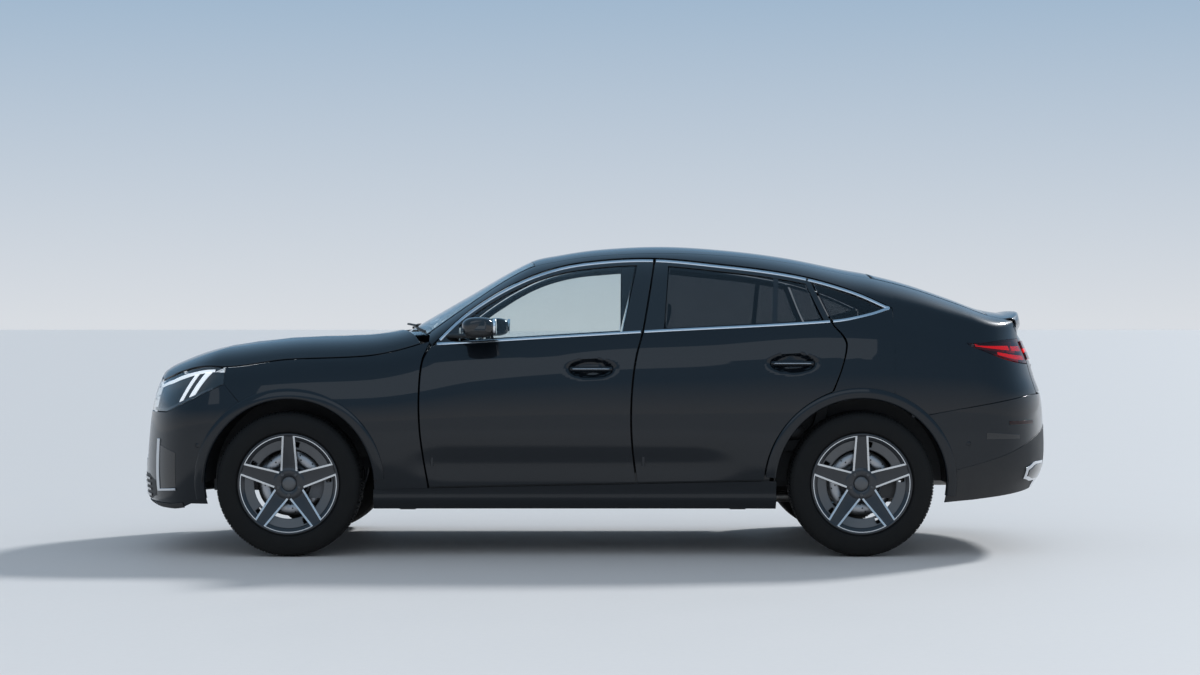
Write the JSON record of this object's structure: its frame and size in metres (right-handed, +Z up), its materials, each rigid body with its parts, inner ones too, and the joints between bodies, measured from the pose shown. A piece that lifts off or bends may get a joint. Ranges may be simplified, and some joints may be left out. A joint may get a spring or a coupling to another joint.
{
  "type": "coupe sport utility vehicle",
  "caption": "Fastback sport utility vehicle with hinged doors, bonnet and tailgate, steered front wheels and freely turning road wheels.",
  "frame": {"origin": "on the ground, midway along the length and on the middle plane", "axes": "-X to the front of the vehicle, -Y to its left side, +Z up"},
  "size_m": [4.7672, 2.072, 1.5889],
  "materials": {
    "paint": "gloss metallic",
    "trim": "grained",
    "chassis": "satin",
    "machinery": "cast",
    "exhaust": "brushed",
    "tank": "moulded",
    "clear_glass": "clear tint",
    "dark_glass": "dark tint",
    "head_lamp": "clear lens",
    "tail_lamp": "red lens",
    "cabin_trim": "soft grain",
    "seat": "smooth",
    "rim": "painted and turned",
    "hub": "cast",
    "tyre": "moulded rubber"
  },
  "bodies": {
    "body": {"floor_pan": "chassis", "sills": "trim", "firewall": "chassis", "cowl": "trim", "front_frame": "chassis", "radiator": "machinery", "engine": "machinery", "front_subframe": "chassis", "rear_axle": "chassis", "fuel_tank": "tank", "exhaust": "exhaust", "hinge_pillars": "trim", "b_pillars": "trim", "fender_left": "paint", "fender_right": "paint", "quarter_left": "paint", "quarter_right": "paint", "rail_left": "paint", "rail_right": "paint", "roof": "paint", "windscreen": "clear_glass", "quarter_glass": "dark_glass", "front_bumper": "paint", "grille": "trim", "headlamps": "head_lamp", "rear_bumper": "paint", "tail_lamps": "tail_lamp", "arch_trims": "paint", "wheel_housings": "trim", "dashboard": "cabin_trim", "console": "cabin_trim", "front_seats": "seat", "rear_bench": "seat"},
    "bonnet": {"bonnet": "paint"},
    "tailgate": {"tailgate": "paint", "tailgate_glass": "dark_glass", "tailgate_lamps": "tail_lamp"},
    "door_front_left": {"door_front_left": "paint", "glass_front_left": "clear_glass", "mirror_left": "paint"},
    "door_front_right": {"door_front_right": "paint", "glass_front_right": "clear_glass", "mirror_right": "paint"},
    "door_rear_left": {"door_rear_left": "paint", "glass_rear_left": "dark_glass"},
    "door_rear_right": {"door_rear_right": "paint", "glass_rear_right": "dark_glass"},
    "knuckle_left": {"knuckle_left": "hub"},
    "knuckle_right": {"knuckle_right": "hub"},
    "wheel_front_left": {"wheel_front_left": "rim", "tyre_front_left": "tyre"},
    "wheel_front_right": {"wheel_front_right": "rim", "tyre_front_right": "tyre"},
    "wheel_rear_left": {"wheel_rear_left": "rim", "tyre_rear_left": "tyre"},
    "wheel_rear_right": {"wheel_rear_right": "rim", "tyre_rear_right": "tyre"},
    "steering_wheel": {"steering_wheel": "cabin_trim"}
  },
  "joints": [
    {"name": "door_front_left_hinge", "type": "hinge", "parent": "body", "child": "door_front_left", "pos_m": [-0.8195, -0.89647, 0.62], "axis": [0, 0, -1], "range_deg": [0, 68]},
    {"name": "door_front_right_hinge", "type": "hinge", "parent": "body", "child": "door_front_right", "pos_m": [-0.8195, 0.89647, 0.62], "axis": [0, 0, 1], "range_deg": [0, 68]},
    {"name": "door_rear_left_hinge", "type": "hinge", "parent": "body", "child": "door_rear_left", "pos_m": [0.2465, -0.89758, 0.62], "axis": [0, 0, -1], "range_deg": [0, 68]},
    {"name": "door_rear_right_hinge", "type": "hinge", "parent": "body", "child": "door_rear_right", "pos_m": [0.2465, 0.89758, 0.62], "axis": [0, 0, 1], "range_deg": [0, 68]},
    {"name": "bonnet_hinge", "type": "hinge", "parent": "body", "child": "bonnet", "pos_m": [-0.8795, 0, 1.063], "axis": [0, 1, 0], "range_deg": [0, 52]},
    {"name": "tailgate_hinge", "type": "hinge", "parent": "body", "child": "tailgate", "pos_m": [1.4425, 0, 1.43789], "axis": [0, -1, 0], "range_deg": [0, 75]},
    {"name": "steer_left", "type": "hinge", "parent": "body", "child": "knuckle_left", "pos_m": [-1.5415, -0.745, 0.367], "axis": [0, 0, 1], "range_deg": [-35, 35]},
    {"name": "steer_right", "type": "hinge", "parent": "body", "child": "knuckle_right", "pos_m": [-1.5415, 0.745, 0.367], "axis": [0, 0, 1], "range_deg": [-35, 35]},
    {"name": "wheel_front_left_spin", "type": "hinge", "parent": "knuckle_left", "child": "wheel_front_left", "pos_m": [-1.5415, -0.815, 0.367], "axis": [0, 1, 0], "continuous": true},
    {"name": "wheel_front_right_spin", "type": "hinge", "parent": "knuckle_right", "child": "wheel_front_right", "pos_m": [-1.5415, 0.815, 0.367], "axis": [0, 1, 0], "continuous": true},
    {"name": "wheel_rear_left_spin", "type": "hinge", "parent": "body", "child": "wheel_rear_left", "pos_m": [1.3465, -0.815, 0.367], "axis": [0, 1, 0], "continuous": true},
    {"name": "wheel_rear_right_spin", "type": "hinge", "parent": "body", "child": "wheel_rear_right", "pos_m": [1.3465, 0.815, 0.367], "axis": [0, 1, 0], "continuous": true},
    {"name": "steering_wheel_turn", "type": "hinge", "parent": "body", "child": "steering_wheel", "pos_m": [-0.5015, -0.37, 0.985], "axis": [0.9135, 0, 0.4067], "range_deg": [-490, 490]}
  ],
  "couplings": [
    {"joint": "steer_right", "follows": "steer_left", "ratio": 1},
    {"joint": "steering_wheel_turn", "follows": "steer_left", "ratio": 14}
  ]
}
